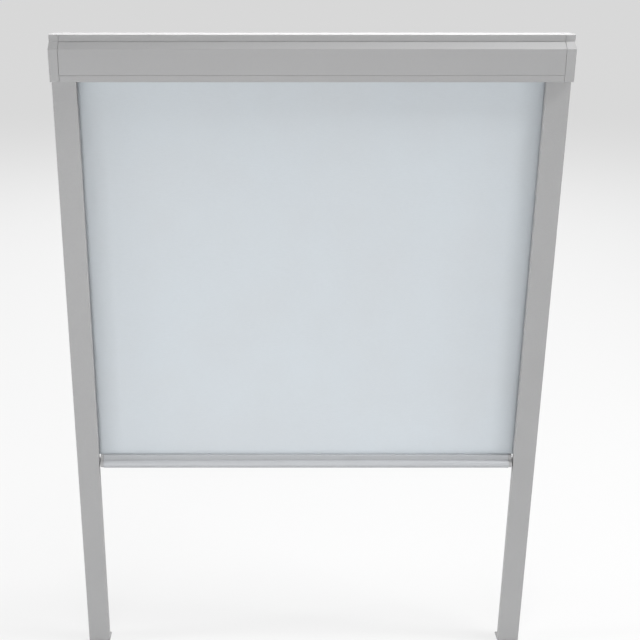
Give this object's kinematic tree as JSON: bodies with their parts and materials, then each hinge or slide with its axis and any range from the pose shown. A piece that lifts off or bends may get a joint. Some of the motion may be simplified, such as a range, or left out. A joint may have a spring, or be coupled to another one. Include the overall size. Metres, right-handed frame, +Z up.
{
  "type": "skylight roller blind",
  "caption": "Blackout roller blind for a roof window: a slim cassette, two side rails that hold the fabric's edges, and a bottom bar that slides and stays where it is put.",
  "frame": {"origin": "middle of the width and of the depth, in the fabric's plane, level with the feet of the side rails", "axes": "+Z up the slope of the window, -Y into the room, +Y towards the glass, +X to the right seen from the room"},
  "size_m": [0.612, 0.04, 0.84],
  "materials": {
    "silver_coat": "fine satin silver powder coat on extruded aluminium",
    "silver_moulding": "satin silver-grey moulding",
    "silver_bar": "satin silver coat on extruded aluminium",
    "mill_aluminium": "plain mill finish",
    "zinc_steel": "bright zinc plate",
    "spring_steel": "oiled spring wire",
    "grey_plastic": "fine matt grey moulding",
    "white_plastic": "natural white moulding",
    "grey_pile": "dense short pile",
    "dark_felt": "felt",
    "blackout_fabric": "smooth coated fabric with a fine weave"
  },
  "bodies": {
    "frame": {"cassette_housing": "silver_coat", "cassette_cover": "silver_coat", "end_cap_left": "silver_moulding", "end_cap_right": "silver_moulding", "cap_screw_left_lower": "zinc_steel", "cap_screw_left_upper": "zinc_steel", "cap_screw_right_lower": "zinc_steel", "cap_screw_right_upper": "zinc_steel", "spring_shaft": "zinc_steel", "spring_anchor": "grey_plastic", "torsion_spring": "spring_steel", "idle_pin": "zinc_steel", "side_rail_left": "silver_coat", "side_rail_right": "silver_coat", "pile_strip_front_left": "grey_pile", "pile_strip_front_right": "grey_pile", "pile_strip_rear_left": "grey_pile", "pile_strip_rear_right": "grey_pile", "rail_foot_left": "silver_moulding", "rail_foot_right": "silver_moulding", "fabric_drop": "blackout_fabric"},
    "roller": {"roller_tube": "mill_aluminium", "fabric_roll": "blackout_fabric", "spring_end_plug": "white_plastic", "spring_driver": "white_plastic", "idle_plug": "white_plastic"},
    "bar": {"bottom_bar": "silver_bar", "bar_end_left": "silver_moulding", "bar_end_right": "silver_moulding", "friction_pad_left": "dark_felt", "friction_pad_right": "dark_felt", "hem_rod": "white_plastic"}
  },
  "joints": [
    {"name": "bar_slide", "type": "slide", "parent": "frame", "child": "bar", "axis": [0, 0, 1], "range_m": [-0.25, 0.492], "deforming": ["fabric_drop"]},
    {"name": "roller_spin", "type": "hinge", "parent": "frame", "child": "roller", "pos_m": [0, 0.00136, 0.81586], "axis": [1, 0, 0], "range_deg": [-1010, 1985]}
  ],
  "couplings": [
    {"joint": "roller_spin", "follows": "bar_slide", "rad_per_m": 70.1}
  ]
}
